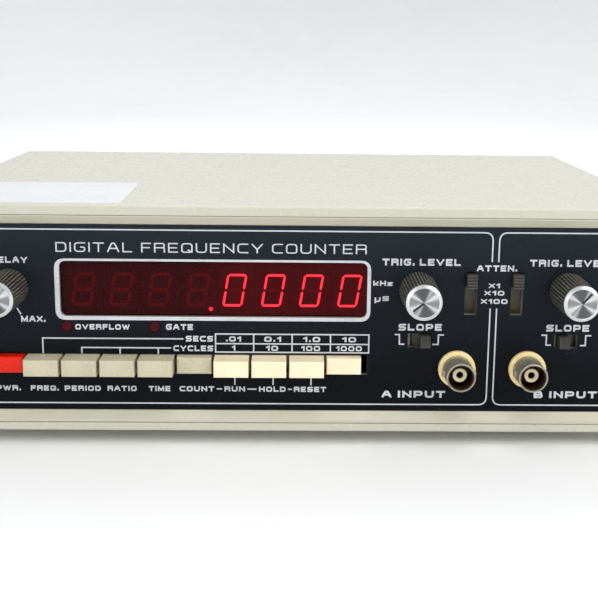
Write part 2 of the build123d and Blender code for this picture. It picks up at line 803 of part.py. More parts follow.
transformer_y = rear_inner - transformer_back_gap
core_top = board_top + core_height
window_bottom_z = board_top + core_leg
window_top_z = core_top - core_leg
with BuildPart() as transformer_core:
    x0, x1 = ends(transformer_x, core_width)
    y0, y1 = ends(transformer_y, core_stack)
    block(x0, x1, y0, y1, board_top, core_top)
    for wx0, wx1 in (
        (x0 + core_leg, transformer_x - core_leg),
        (transformer_x + core_leg, x1 - core_leg),
    ):
        block(wx0, wx1, y0, y1, window_bottom_z, window_top_z, Mode.SUBTRACT)
save(transformer_core, "transformer_core")

with BuildPart() as transformer_winding:
    z0 = window_bottom_z + winding_gap
    z1 = window_top_z - winding_gap
    x0, x1 = ends(transformer_x, core_width - 2 * core_leg - 2 * winding_gap)
    y0, y1 = ends(transformer_y, core_stack + 2 * winding_overhang)
    block(x0, x1, y0, y1, z0, z1)
    fillet(edges().filter_by(Axis.Z), winding_corner)
    x0, x1 = ends(transformer_x, 2 * core_leg + 2 * winding_gap)
    y0, y1 = ends(transformer_y, core_stack + 2 * winding_gap)
    block(x0, x1, y0, y1, z0, z1, Mode.SUBTRACT)
save(transformer_winding, "transformer_winding")

can_x = transformer_x + core_width / 2 + can_gap
with BuildPart() as reservoir_capacitors:
    for y in (transformer_y - can_half_pitch, transformer_y + can_half_pitch):
        rod_z(can_x, y, can_radius, board_top, board_top + can_height)
save(reservoir_capacitors, "reservoir_capacitors")

sink_x = chip_first_x + sink_column * chip_column_pitch
sink_top = board_top + sink_size[2]
with BuildPart() as heat_sink:
    x0, x1 = ends(sink_x, sink_size[0])
    block(x0, x1, sink_y0, sink_y1, board_top, sink_top)
    block(x0, x1, sink_y0 + sink_wall, sink_y1 - sink_wall, board_top + sink_wall, sink_top,
          Mode.SUBTRACT)
save(heat_sink, "heat_sink")

with BuildPart() as regulator:
    x0, x1 = ends(sink_x, tab_size[0])
    y0 = sink_y0 + sink_wall
    y1 = y0 + tab_size[1]
    z0 = board_top + tab_lift
    block(x0, x1, y0, y1, z0, z0 + tab_size[2])
    block(x0, x1, y1, y1 + tab_body[0], z0, z0 + tab_body[1])
save(regulator, "regulator")

# Rear fittings: fuse holder with a turn-and-pull cap that carries the fuse, and the cord gland.
fuse_back = rear_outer + fuse_flange_thickness
holder_front = rear_outer - fuse_body_length
with BuildPart() as fuse_holder:
    rod_y(fuse_x, fitting_height, fuse_flange_radius, rear_outer, fuse_back)
    rod_y(fuse_x, fitting_height, fuse_body_radius, holder_front, rear_outer)
    rod_y(fuse_x, fitting_height, fuse_bore_radius, holder_front + fuse_floor, fuse_back, Mode.SUBTRACT)
    with BuildSketch(front_plane(fuse_x, rear_inner, fitting_height)):
        RegularPolygon(fuse_flange_radius, 6, major_radius=False)
        Circle(fuse_body_radius - fuse_nut_gap, mode=Mode.SUBTRACT)
    extrude(amount=fuse_nut_thickness)
save(fuse_holder, "fuse_holder")

plug_front = fuse_back - plug_length
cap_front = fuse_back + fuse_cap_seam
cap_back = fuse_back + fuse_cap_length
with BuildPart() as fuse_cap:
    rod_y(fuse_x, fitting_height, fuse_cap_radius, cap_front, cap_back)
    fillet(edges().group_by(Axis.Y)[-1], fuse_cap_edge)
    rod_y(fuse_x, fitting_height, fuse_bore_radius - plug_fit, plug_front, cap_front)
    rod_y(fuse_x, fitting_height, fuse_radius + fuse_seat_gap, plug_front, plug_front + fuse_seat_depth,
          Mode.SUBTRACT)
    x0, x1 = ends(fuse_x, 2 * fuse_cap_radius)
    z0, z1 = ends(fitting_height, fuse_cap_slot[0])
    block(x0, x1, cap_back - fuse_cap_slot[1], cap_back, z0, z1, Mode.SUBTRACT)
save(fuse_cap, "fuse_cap")

with BuildPart() as fuse:
    tip = plug_front + fuse_seat_depth
    rod_y(fuse_x, fitting_height, fuse_radius, tip - fuse_length, tip)
save(fuse, "fuse")

gland_front = rear_inner - gland_nut_thickness - gland_past_nut
gland_back = rear_outer + gland_flange_thickness
with BuildPart() as cord_gland:
    rod_y(gland_x, fitting_height, gland_flange_radius, rear_outer, gland_back)
    fillet(edges().group_by(Axis.Y)[-1], gland_edge)
    rod_y(gland_x, fitting_height, gland_body_radius, gland_front, rear_outer)
    rod_y(gland_x, fitting_height, gland_bore_radius, gland_front, gland_back, Mode.SUBTRACT)
save(cord_gland, "cord_gland")

# Hexagon nuts: in front of the panel for the potentiometers, behind it for the inputs, and
# inside the rear panel for the gland.
nut_spots = [
    (x, panel_front, knob_height, pot_nut_flats, bushing_radius, pot_nut_thickness)
    for x in controls.values()
]
nut_spots += [
    (x, panel_back + input_nut_thickness, input_height, input_nut_flats, thread_radius, input_nut_thickness)
    for x in input_x
]
nut_spots += [
    (gland_x, rear_inner, fitting_height, gland_nut_flats, gland_body_radius, gland_nut_thickness),
]
with BuildPart() as panel_nuts:
    for x, y, z, flats, stem, thickness in nut_spots:
        with BuildSketch(front_plane(x, y, z)):
            RegularPolygon(flats / 2, 6, major_radius=False)
            Circle(stem + shaft_fit, mode=Mode.SUBTRACT)
        extrude(amount=thickness)
save(panel_nuts, "panel_nuts")
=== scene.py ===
import math
import bmesh
import bpy
import numpy as np
from mathutils import Matrix, Vector


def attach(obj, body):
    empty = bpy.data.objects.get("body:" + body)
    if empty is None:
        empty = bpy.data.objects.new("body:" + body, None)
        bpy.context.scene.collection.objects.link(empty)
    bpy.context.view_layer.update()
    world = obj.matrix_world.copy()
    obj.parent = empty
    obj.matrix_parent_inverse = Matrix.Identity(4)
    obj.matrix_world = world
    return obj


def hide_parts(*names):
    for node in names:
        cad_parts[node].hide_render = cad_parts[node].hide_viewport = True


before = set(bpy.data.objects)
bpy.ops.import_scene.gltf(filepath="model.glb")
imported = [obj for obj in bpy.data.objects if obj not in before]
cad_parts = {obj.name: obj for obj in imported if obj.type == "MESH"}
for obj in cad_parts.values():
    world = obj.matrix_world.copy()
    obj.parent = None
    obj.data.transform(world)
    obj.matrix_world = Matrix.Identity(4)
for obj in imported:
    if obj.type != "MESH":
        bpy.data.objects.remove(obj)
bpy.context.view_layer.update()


# Studio. Seamless pale paper, flat under the instrument and curving up into a wall all round, so
# every view has a plain pale ground. Light comes from big soft panels and a pale sky.
def linear(code):
    """sRGB hex to linear RGBA: c / 12.92 up to 0.04045, else ((c + 0.055) / 1.055) ** 2.4."""
    c = np.array([int(code[i:i + 2], 16) for i in (1, 3, 5)]) / 255
    return (*np.where(c <= 0.04045, c / 12.92, ((c + 0.055) / 1.055) ** 2.4).tolist(), 1.0)


def add(tree, kind, sockets, **settings):
    """One shader node: settings are its properties, sockets its inputs, each a value or a link."""
    node = tree.nodes.new("ShaderNode" + kind)
    for name, value in settings.items():
        setattr(node, name, value)
    for name, value in sockets.items():
        if isinstance(value, bpy.types.NodeSocket):
            tree.links.new(value, node.inputs[name])
        else:
            node.inputs[name].default_value = value
    return node


def material(name, **sockets):
    """A Principled material, its tree, its shader and the object coordinates in millimetres."""
    made = bpy.data.materials.new(name)
    made.use_nodes = True
    tree = made.node_tree
    shader = tree.nodes["Principled BSDF"]
    for key, value in sockets.items():
        shader.inputs[key.replace("_", " ")].default_value = value
    place = add(tree, "TexCoord", {})
    sockets = {0: place.outputs["Object"], "Scale": 1000.0}
    point = add(tree, "VectorMath", sockets, operation="SCALE")
    return made, tree, shader, point.outputs[0]


def noise(tree, point, size, detail=3.0):
    """Fractal noise from 0 to 1 whose largest lumps are size millimetres across."""
    made = add(tree, "TexNoise", {"Vector": point, "Scale": 1 / size, "Detail": detail})
    return made.outputs[0]


def from_axis(tree, point, x, z):
    """Sideways offset (x, 0, z) in millimetres of the shaded point from a line along Y."""
    offset = add(tree, "VectorMath", {0: point, 1: (x, 0.0, z)}, operation="SUBTRACT")
    flat = add(tree, "VectorMath", {0: offset.outputs[0], 1: (1.0, 0.0, 1.0)}, operation="MULTIPLY")
    return flat.outputs[0]


def between(tree, value, low, high, first, last):
    """value from low..high stretched to first..last and clamped there."""
    sockets = {0: value, 1: low, 2: high, 3: first, 4: last}
    return add(tree, "MapRange", sockets, clamp=True).outputs[0]


def mixed(tree, factor, first, second):
    """Colour (1 - factor) * first + factor * second."""
    return add(tree, "Mix", {0: factor, 6: first, 7: second}, data_type="RGBA").outputs[2]


def moulded(name, base, aged, rough, blotch=30.0, grain=0.4, depth=0.01, edge=0.0, **sockets):
    """A plastic or painted skin. The colour drifts from base to aged over blotches (mm), roughness
    follows with rough +- 15 %, and grain (mm) of the given depth (mm) breaks up the highlight; edge
    (mm) softens sharp corners in the shading."""
    made, tree, shader, point = material(name, **sockets)
    drift = noise(tree, point, blotch)
    speck = noise(tree, point, blotch / 9, 5.0)
    both = add(tree, "Math", {0: drift, 1: speck}, operation="MULTIPLY").outputs[0]
    ageing = between(tree, both, 0.15, 0.4, 0.0, 1.0)
    tree.links.new(mixed(tree, ageing, linear(base), linear(aged)), shader.inputs["Base Color"])
    tree.links.new(between(tree, speck, 0.3, 0.7, 0.85 * rough, 1.15 * rough),
                   shader.inputs["Roughness"])
    bump = add(tree, "Bump", {"Height": noise(tree, point, grain, 2.0), "Distance": depth / 1000,
                              "Strength": 1.0})
    if edge:
        soft = add(tree, "Bevel", {"Radius": edge / 1000}, samples=4)
        tree.links.new(soft.outputs[0], bump.inputs["Normal"])
    tree.links.new(bump.outputs[0], shader.inputs["Normal"])
    return made


def turned(profile, segments, centre=(0.0, 0.0), wave=None):
    """Points and faces of revolution about a line along Y through centre (x, z). profile is rows of
    (radius, y); point (i, j) is centre + r_i (cos a_j, sin a_j), and wave(i, a) scales r_i."""
    profile = np.asarray(profile, float)
    angle = np.linspace(0, 2 * math.pi, segments, endpoint=False)
    rows = np.arange(len(profile))[:, None]
    radius = profile[:, :1] * (np.ones((len(profile), segments)) if wave is None
                               else wave(rows, angle[None]))
    points = np.stack([centre[0] + radius * np.cos(angle),
                       np.broadcast_to(profile[:, 1:], radius.shape),
                       centre[1] + radius * np.sin(angle)], axis=-1).reshape(-1, 3)
    i = np.arange(len(profile) - 1)[:, None] * segments
    j = np.arange(segments)[None]
    k = (j + 1) % segments
    faces = np.stack([i + j, i + k, i + segments + k, i + segments + j], axis=-1).reshape(-1, 4)
    return points, faces.tolist()


def solid(name, parts, made, smooth=False):
    """One mesh object from (points in mm, faces) parts, with doubles merged and normals outward."""
    points, faces, start = [], [], 0
    for some_points, some_faces in parts:
        points.append(np.asarray(some_points, float))
        faces += [[start + v for v in face] for face in some_faces]
        start += len(some_points)
    mesh = bpy.data.meshes.new(name)
    mesh.from_pydata((np.concatenate(points) / 1000).tolist(), [], faces)
    work = bmesh.new()
    work.from_mesh(mesh)
    bmesh.ops.remove_doubles(work, verts=work.verts, dist=1e-7)
    bmesh.ops.recalc_face_normals(work, faces=work.faces)
    work.to_mesh(mesh)
    work.free()
    mesh.materials.append(made)
    mesh.polygons.foreach_set("use_smooth", [smooth] * len(mesh.polygons))
    made_object = bpy.data.objects.new(name, mesh)
    bpy.context.scene.collection.objects.link(made_object)
    return made_object


paper = moulded("seamless_paper", "#F6F6F6", "#F3F3F2", 0.8, blotch=400.0, grain=2.0, depth=0.02,
                Emission_Color=linear("#FBFDFF"), Emission_Strength=0.04, Specular_IOR_Level=0.2)
bowl_flat, bowl_curve, bowl_wall = 1500.0, 900.0, 1600.0
sweep = np.linspace(0, math.pi / 2, 24)
bowl = [(1e-3, 0.0)] + [(bowl_flat + bowl_curve * math.sin(a), bowl_curve * (1 - math.cos(a)))
                        for a in sweep]
bowl += [(bowl_flat + bowl_curve, bowl_wall)]
bowl_points, bowl_faces = turned(bowl, 96)
floor = solid("studio_paper", [(bowl_points[:, [0, 2, 1]], bowl_faces)], paper, smooth=True)
flip = bmesh.new()
flip.from_mesh(floor.data)
bmesh.ops.reverse_faces(flip, faces=flip.faces)
flip.to_mesh(floor.data)
flip.free()

world = bpy.data.worlds.new("pale_room")
world.use_nodes = True
world.node_tree.nodes["Background"].inputs["Color"].default_value = linear("#F4F7FA")
world.node_tree.nodes["Background"].inputs["Strength"].default_value = 0.68
bpy.context.scene.world = world


def softbox(name, place, target, size, power, tint):
    """A square area lamp at place aimed at target, both in metres."""
    light = bpy.data.lights.new(name, "AREA")
    light.size = size
    light.energy = power
    light.color = linear(tint)[:3]
    lamp = bpy.data.objects.new(name, light)
    lamp.location = place
    lamp.rotation_euler = (Vector(target) - Vector(place)).to_track_quat("-Z", "Y").to_euler()
    bpy.context.scene.collection.objects.link(lamp)


softbox("key_light", (0.85, -0.85, 0.75), (0, 0, 0.04), 0.45, 5.4, "#FFFDF8")
softbox("fill_light", (-1.0, -1.1, 0.5), (0, 0, 0.04), 0.9, 3.1, "#F6FAFF")
softbox("back_light", (0.1, 1.2, 1.2), (0, 0, 0.05), 1.2, 8.0, "#FFFFFF")
softbox("top_light", (0.1, -0.4, 1.1), (0, 0, 0.05), 0.6, 3.6, "#FFFFFF")

# Camera. A short telephoto a hand's width above the case, aimed slightly down and to the right,
# with the small lens shift that keeps the case verticals upright.
yaw, pitch, roll = 0.0211218, 0.2134865, -0.0117930
forward = Vector((math.sin(yaw) * math.cos(pitch), math.cos(yaw) * math.cos(pitch),
                  -math.sin(pitch)))
level = Vector((math.cos(yaw), -math.sin(yaw), 0.0))
down = forward.cross(level)
right = math.cos(roll) * level + math.sin(roll) * down
under = -math.sin(roll) * level + math.cos(roll) * down
lens = bpy.data.cameras.new("camera")
lens.lens = 68.737
lens.shift_x = -0.02819
lens.shift_y = -0.01822
lens.clip_start = 0.01
camera = bpy.data.objects.new("camera", lens)
turn = Matrix((right, -under, -forward)).transposed().to_4x4()
camera.matrix_world = Matrix.Translation((0.000697, -0.44898, 0.13369)) @ turn
bpy.context.scene.collection.objects.link(camera)
bpy.context.scene.camera = camera
bpy.context.scene.view_settings.view_transform = "Standard"


# Covers and bezel. Two injection-moulded halves in a cream plastic that has yellowed a little, with
# a satin spark-eroded texture, and a bezel in the same plastic clamped between them.
def dress(made, *nodes):
    """Puts one material in every material slot of these CAD nodes."""
    for node in nodes:
        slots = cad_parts[node].data.materials
        if not slots:
            slots.append(made)
        for i in range(len(slots)):
            slots[i] = made


cover = moulded("aged_cream_plastic", "#C8C6B6", "#C6C3B2", 0.26, blotch=90.0, grain=0.5,
                depth=0.012, edge=0.5, IOR=1.52)
dress(cover, "top_cover", "bottom_cover")
dress(moulded("bezel_cream_plastic", "#C7C4B0", "#C4C1AB", 0.34, blotch=45.0, grain=0.5, depth=0.01,
              edge=0.35, IOR=1.52), "front_bezel")

# Front panel. Aluminium sheet sprayed blue-black in a fine satin paint that holds pale dust.
# The cut edges of its openings are bare metal, so everything behind the painted face is paler.
panel_paint, tree, shader, point = material("blue_black_panel_paint", IOR=1.5,
                                            Specular_IOR_Level=0.1)
cloud = between(tree, noise(tree, point, 18.0, 6.0), 0.35, 0.7, 0.0, 1.0)
base = mixed(tree, cloud, linear("#03060B"), linear("#080D14"))
# Painted reflection: the paint is lightened towards the top of the panel, up to 12 % of a pale
# blue-grey.
height = add(tree, "SeparateXYZ", {0: point}).outputs[2]
painted_top_reflection = between(tree, height, 26.0, 74.0, 0.0, 0.12)
base = mixed(tree, painted_top_reflection, base, linear("#5C6874"))
dust = between(tree, noise(tree, point, 0.9, 2.0), 0.68, 0.8, 0.0, 0.3)
dusty = mixed(tree, dust, base, linear("#565C62"))
along_y = add(tree, "SeparateXYZ", {0: point}).outputs[1]
paint_back = -81.47, -81.44
cut_edge = between(tree, along_y, *paint_back, 0.0, 1.0)
tree.links.new(mixed(tree, cut_edge, dusty, linear("#8B867C")), shader.inputs["Base Color"])
tree.links.new(between(tree, cloud, 0.0, 1.0, 0.38, 0.55), shader.inputs["Roughness"])
skin = add(tree, "Bump", {"Height": noise(tree, point, 0.25, 2.0), "Distance": 1e-5})
tree.links.new(skin.outputs[0], shader.inputs["Normal"])
dress(panel_paint, "front_panel")


# Printed legends and rules. White screen ink on the panel: letters drawn as ribbons of constant
# stroke in a wide square face, and the outlines, brackets and table rules round the controls.
def rounded(path, radius):
    """Corners of a path replaced by quadratic arcs (1-u)^2 a + 2u(1-u) c + u^2 b that start and
    end radius away from corner c; a path that ends where it began is closed."""
    path = np.asarray(path, float)
    closed = bool(np.allclose(path[0], path[-1]))
    if closed:
        path = path[:-1]
    u = np.linspace(0, 1, 6)[:, None]
    out = []
    for i, corner in enumerate(path):
        if radius == 0 or (not closed and i in (0, len(path) - 1)):
            out.append(corner[None])
            continue
        a, b = path[i - 1] - corner, path[(i + 1) % len(path)] - corner
        la, lb = np.linalg.norm(a), np.linalg.norm(b)
        reach = min(radius, la / 2, lb / 2)
        start, end = corner + a * reach / la, corner + b * reach / lb
        out.append((1 - u) ** 2 * start + 2 * u * (1 - u) * corner + u ** 2 * end)
    out = np.concatenate(out)
    keep = np.ones(len(out), bool)
    keep[1:] = np.linalg.norm(np.diff(out, axis=0), axis=1) > 1e-6
    if closed and np.linalg.norm(out[0] - out[-1]) < 1e-6:
        keep[-1] = False
    return out[keep], closed


def band(left, right, y0, y1, closed):
    """A strip between two rows of (x, z) points, from plane y0 to plane y1; its four edges run
    through station i and i + 1 and, unless it is closed, both ends are capped."""
    n = len(left)
    corners = ((left, y0), (right, y0), (right, y1), (left, y1))
    points = np.concatenate([np.insert(row, 1, y, axis=1) for row, y in corners])
    i = np.arange(n if closed else n - 1)
    j = (i + 1) % n
    faces = []
    for k in range(4):
        a, b = k * n, (k + 1) % 4 * n
        faces += np.stack([a + i, a + j, b + j, b + i], axis=1).tolist()
    if not closed:
        faces += [[0, n, 2 * n, 3 * n], [n - 1, 2 * n - 1, 3 * n - 1, 4 * n - 1]]
    return points, faces


def stroke(path, width, radius, y0, y1, cap=0.0):
    """A ribbon along a rounded path: each side lies width / 2 off it along the mitre
    (n1 + n2) / (1 + n1.n2); open ends run on by cap."""
    line, closed = rounded(path, radius)
    if not closed and cap:
        for end, inside in ((0, 1), (-1, -2)):
            way = line[end] - line[inside]
            line[end] = line[end] + way / np.linalg.norm(way) * cap
    step = np.diff(np.vstack([line, line[:1]]) if closed else line, axis=0)
    normal = np.stack([-step[:, 1], step[:, 0]], axis=1) / np.linalg.norm(step, axis=1)[:, None]
    if closed:
        before, after = np.roll(normal, 1, axis=0), normal
    else:
        before, after = np.vstack([normal[:1], normal]), np.vstack([normal, normal[-1:]])
    offset = (before + after) / (1 + (before * after).sum(1))[:, None] * width / 2
    return band(line + offset, line - offset, y0, y1, closed)


# Each glyph is strokes of grid points: two digits are x and y on a grid of 8, and the number in
# front is the glyph's width as a share of the letter height.
glyphs = {
    "A": (0.9, "00 38 58 80", "13 73"), "B": (0.8, "00 08", "08 78 74 04", "04 84 80 00"),
    "C": (0.8, "88 08 00 80"), "D": (0.8, "00 08", "08 88 80 00"),
    "E": (0.72, "00 08", "08 88", "04 74", "00 80"), "F": (0.7, "00 08", "08 88", "04 74"),
    "G": (0.82, "88 08 00 80 84 54"), "H": (0.82, "00 08", "80 88", "04 84"), "I": (0.0, "00 08"),
    "K": (0.8, "00 08", "04 34", "34 88", "34 80"), "L": (0.7, "00 08", "00 80"),
    "M": (1.0, "00 08", "08 41", "41 88", "88 80"), "N": (0.82, "00 08", "08 80", "80 88"),
    "O": (0.84, "40 80 88 08 00 40"), "P": (0.8, "00 08", "08 88 83 03"),
    "Q": (0.84, "40 80 88 08 00 40", "52 80"), "R": (0.8, "00 08", "08 88 84 04", "54 84 80"),
    "S": (0.8, "88 08 04 84 80 00"), "T": (0.8, "08 88", "48 40"), "U": (0.82, "08 00 80 88"),
    "V": (0.9, "08 40", "40 88"), "W": (1.2, "08 20", "20 47", "47 60", "60 88"),
    "X": (0.8, "00 88", "08 80"), "Y": (0.85, "08 43", "88 43", "43 40"),
    "Z": (0.8, "08 88", "88 00", "00 80"), "0": (0.84, "40 80 88 08 00 40"),
    "1": (0.35, "06 88", "88 80"), ".": (0.0, "00 01"),
    "k": (0.65, "00 08", "02 32", "32 86", "32 80"),
    "z": (0.62, "05 85", "85 00", "00 80"), "u": (0.75, "00 08", "02 82 88"),
}
ink_back, ink_front = -81.49, -81.54
panel_base = 5.0
ink = []


def lettering(text, x0, x1, base, cap, weight=0.265, corner=0.3):
    """A line of text scaled sideways to run exactly from x0 to x1, on a baseline and with a letter
    height in mm above the case's underside; weight and corner are shares of the height."""
    line = weight * cap
    pen, made = 0.0, []
    for letter in text:
        if letter == " ":
            pen += 0.5 * cap
            continue
        share, *strokes = glyphs[letter]
        for path in strokes:
            grid = np.array([[int(p[0]), int(p[1])] for p in path.split()]) / 8
            spot = np.stack([pen + line / 2 + grid[:, 0] * share * cap,
                             line / 2 + grid[:, 1] * (cap - line)], axis=1)
            lift = 0.0006 * (len(made) % 7)
            points, faces = stroke(spot, line, corner * cap, ink_back, ink_front - lift, line / 2)
            points[:, 2] = np.clip(points[:, 2], 0, cap)
            made.append((points, faces))
        pen += share * cap + line + 0.26 * cap
    scale = (x1 - x0) / (pen - 0.26 * cap)
    for points, faces in made:
        points[:, 0] = x0 + points[:, 0] * scale
        points[:, 2] += panel_base + base
        ink.append((points, faces))


def rule(*path, width=0.45, corner=0.0):
    """A printed line through (x, z) points in mm, z above the case's underside."""
    raised = [(x, z + panel_base) for x, z in path]
    ink.append(stroke(raised, width, corner, ink_back, ink_front - 0.0006 * (len(ink) % 5)))


for words in (
    ("DIGITAL FREQUENCY COUNTER", -76.5, 25.0, 60.5, 3.2, 0.12, 0.28),
    ("DELAY", -97.9, -85.8, 56.7, 2.1), ("MAX.", -88.6, -80.65, 36.9, 2.1),
    ("OVERFLOW", -70.9, -53.0, 34.45, 1.85), ("GATE", -41.0, -32.1, 34.5, 2.0),
    ("SECS", -34.5, -25.5, 30.55, 1.95), ("CYCLES", -38.65, -25.5, 27.25, 1.95),
    (".01", -21.2, -16.2, 30.65, 1.75), ("0.1", -8.5, -2.9, 30.65, 1.75),
    ("1.0", 4.4, 10.1, 30.65, 1.75), ("10", 17.4, 22.05, 30.65, 1.75),
    ("1", -19.2, -18.1, 27.55, 1.75), ("10", -7.9, -3.9, 27.55, 1.75),
    ("100", 3.8, 10.1, 27.55, 1.75), ("1000", 15.4, 24.05, 27.55, 1.75),
    ("PWR.", -97.9, -89.7, 13.3, 1.8), ("FREQ.", -86.4, -77.1, 13.3, 1.8),
    ("PERIOD", -75.1, -63.1, 13.3, 1.8), ("RATIO", -60.85, -51.15, 13.3, 1.8),
    ("TIME", -47.1, -39.9, 13.3, 1.8), ("COUNT", -36.8, -25.2, 13.3, 1.8),
    ("RUN", -21.8, -14.9, 13.3, 1.8), ("HOLD", -10.2, -1.3, 13.3, 1.8),
    ("RESET", 1.5, 12.3, 13.3, 1.8),
    ("TRIG. LEVEL", 30.2, 56.0, 56.8, 2.3), ("TRIG. LEVEL", 78.85, 104.7, 56.8, 2.3),
    ("ATTEN.", 61.4, 74.7, 55.05, 2.05), ("X1", 65.6, 69.25, 49.4, 1.65),
    ("X10", 64.2, 70.85, 46.95, 1.6), ("X100", 63.2, 72.0, 44.1, 1.65),
    ("SLOPE", 36.1, 50.5, 34.8, 2.3), ("SLOPE", 85.4, 99.8, 34.8, 2.3),
    ("kHz", 27.35, 33.7, 49.95, 1.7), ("u", 27.9, 29.9, 44.1, 1.9), ("S", 30.5, 32.65, 44.85, 1.6),
    ("A INPUT", 31.0, 52.4, 11.5, 2.4), ("B INPUT", 82.4, 103.8, 11.6, 2.4),
):
    lettering(*words)

for lines in (
    ((-89.8, 41.6), (-88.6, 39.5)),
    ((-35.3, 31.45), (-81.8, 31.45), (-81.8, 26.2)),
    ((-39.4, 28.3), (-69.0, 28.3), (-69.0, 26.2)), ((-56.35, 28.3), (-56.35, 26.2)),
    ((-43.7, 28.3), (-43.7, 26.2)),
    ((-24.66, 33.2), (26.3, 33.2), (26.3, 27.0), (-24.66, 27.0), (-24.66, 33.2)),
    ((-24.66, 29.9), (26.3, 29.9)),
    ((-12.0, 33.2), (-12.0, 27.0)), ((0.77, 33.2), (0.77, 27.0)), ((13.52, 33.2), (13.52, 27.0)),
    ((-18.3, 18.5), (-18.3, 15.65)), ((-5.5, 18.5), (-5.5, 15.65)), ((7.2, 18.5), (7.2, 15.65)),
    ((-24.4, 14.2), (-22.6, 14.2)), ((-14.1, 14.2), (-11.0, 14.2)), ((-0.5, 14.2), (0.8, 14.2)),
    ((34.9, 33.4), (36.45, 33.4), (36.5, 30.1), (38.2, 30.1)),
    ((47.5, 30.1), (49.45, 30.1), (49.5, 33.35), (51.3, 33.35)),
    ((83.9, 33.5), (85.6, 33.5), (85.63, 30.1), (87.3, 30.1)),
    ((97.05, 30.0), (98.8, 30.0), (98.8, 33.4), (100.65, 33.4)),
):
    rule(*lines)
outline = 2.8
rule((66.35, 58.2), (66.35, 67.95), (-116.0, 67.95), (-116.0, 9.1), (66.35, 9.1), (66.35, 42.5),
     corner=outline)
rule((68.5, 58.2), (68.5, 67.95), (116.0, 67.95), (116.0, 9.1), (68.5, 9.1), (68.5, 42.5),
     corner=outline)
ring_out, _ = rounded([(-77.2, 42.7), (26.6, 42.7), (26.6, 63.3), (-77.2, 63.3),
                       (-77.2, 42.7)], 3.4)
ring_in, _ = rounded([(-75.64, 43.96), (25.44, 43.96), (25.44, 62.54), (-75.64, 62.54),
                      (-75.64, 43.96)], 2.3)
ink.append(band(ring_out, ring_in, ink_back, ink_front, True))
white_ink = moulded("white_screen_ink", "#D2D4D9", "#BFC2C8", 0.5, blotch=8.0, grain=0.2,
                    depth=0.004, IOR=1.5)
legends = solid("panel_legends", ink, white_ink)
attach(legends, "case")

# Display. A dark red acrylic filter over eight slanted seven-segment digits. The right-hand four
# are lit as noughts with a decimal point; the unlit segments carry a faint painted glow, so they
# show faintly through the filter. A weak red emission on the modules stands for the light that the
# lit segments scatter in them.
red_filter = bpy.data.materials.new("red_acrylic_filter")
red_filter.use_nodes = True
tree = red_filter.node_tree
gloss = tree.nodes["Principled BSDF"]
gloss.inputs["Base Color"].default_value = linear("#320209")
gloss.inputs["Roughness"].default_value = 0.1
gloss.inputs["IOR"].default_value = 1.49
gloss.inputs["Specular IOR Level"].default_value = 0.2
clear = add(tree, "BsdfTransparent", {"Color": (0.9, 0.16, 0.2, 1.0)})
pane = add(tree, "MixShader", {0: 0.4, 1: clear.outputs[0], 2: gloss.outputs[0]})
tree.links.new(pane.outputs[0], tree.nodes["Material Output"].inputs["Surface"])
dress(red_filter, "display_window")
module_plastic = moulded("digit_module_plastic", "#560D14", "#40080D", 0.6, blotch=22.0,
                         Specular_IOR_Level=0.1, Emission_Color=linear("#FF1424"))
tree = module_plastic.node_tree
across_x = add(tree, "SeparateXYZ", {0: add(tree, "TexCoord", {}).outputs["Object"]}).outputs[0]
first_lit, full_glow = -0.032, -0.018  # metres across
stray = between(tree, across_x, first_lit, full_glow, 0.01, 0.1)
tree.links.new(stray, tree.nodes["Principled BSDF"].inputs["Emission Strength"])
dress(module_plastic, "led_digits")


def bar(start, end, width, slant, origin, y0, y1):
    """A pointed segment from start to end, half widths 0, w/2, w/2, 0, sheared by
    x += slant * z, then moved to origin."""
    start, end = np.array(start, float), np.array(end, float)
    way = (end - start) / np.linalg.norm(end - start)
    tip = width / 2
    line = np.array([start, start + way * tip, end - way * tip, end])
    half = np.array([0.06, tip, tip, 0.06])[:, None] * np.array([-way[1], way[0]])
    sides = []
    for row in (line + half, line - half):
        row = row.copy()
        row[:, 0] += slant * row[:, 1]
        sides.append(row + origin)
    return band(sides[0], sides[1], y0, y1, False)


digit_lefts = (-72.95, -60.37, -47.77, -34.99, -22.79, -9.94, 2.72, 15.5)
digit_foot, digit_wide, digit_tall, segment, core = 46.5, 7.0, 11.35, 1.05, 0.6
across, upward, middle = digit_wide - segment, digit_tall - segment, (digit_tall - segment) / 2
gap = 0.14
middle_gap = 0.4
outline_segments = [((gap, 0), (across - gap, 0)), ((gap, upward), (across - gap, upward)),
                    ((0, gap), (0, middle - middle_gap)),
                    ((0, middle + middle_gap), (0, upward - gap)),
                    ((across, gap), (across, middle - middle_gap)),
                    ((across, middle + middle_gap), (across, upward - gap))]
middle_segment = ((gap, middle), (across - gap, middle))
lean = math.tan(math.radians(9.5))
lit, cores, unlit = [], [], []
for i, x in enumerate(digit_lefts):
    origin = (x + segment / 2, digit_foot + segment / 2)
    for part in outline_segments + [middle_segment]:
        made = bar(*part, segment, lean, origin, -77.32, -77.05)
        if i > 3 and part is not middle_segment:
            lit.append(made)
            cores.append(bar(*part, core, lean, origin, -77.4, -77.3))
        else:
            unlit.append(made)
decimal_point = -26.4, 45.7
for radius, front, parts in ((0.85, -77.32, lit), (0.5, -77.4, cores)):
    parts.append(turned([(1e-3, front), (radius, front), (radius, -77.05), (1e-3, -77.05)], 24,
                        decimal_point))
for name, parts, colour, strength in (
    ("digit_segments_lit", lit, "#F0101C", 1.5), ("digit_segment_cores", cores, "#FFE6E6", 9.0),
    # The unlit segments' weak emission is a painted glow, standing for the room light they catch.
    ("digit_segments_unlit", unlit, "#D8101C", 0.17),
):
    segment_red, tree, shader, point = material(name + "_epoxy", Roughness=0.5,
                                                Base_Color=linear("#8C1A20"),
                                                Emission_Color=linear(colour),
                                                Emission_Strength=strength)
    piece = solid(name, parts, segment_red)
    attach(piece, "case")
dress(moulded("ruby_lamp_lens", "#4A040F", "#36030A", 0.25, blotch=6.0, depth=0.0, IOR=1.5,
              Specular_IOR_Level=0.12), "indicator_lamps")

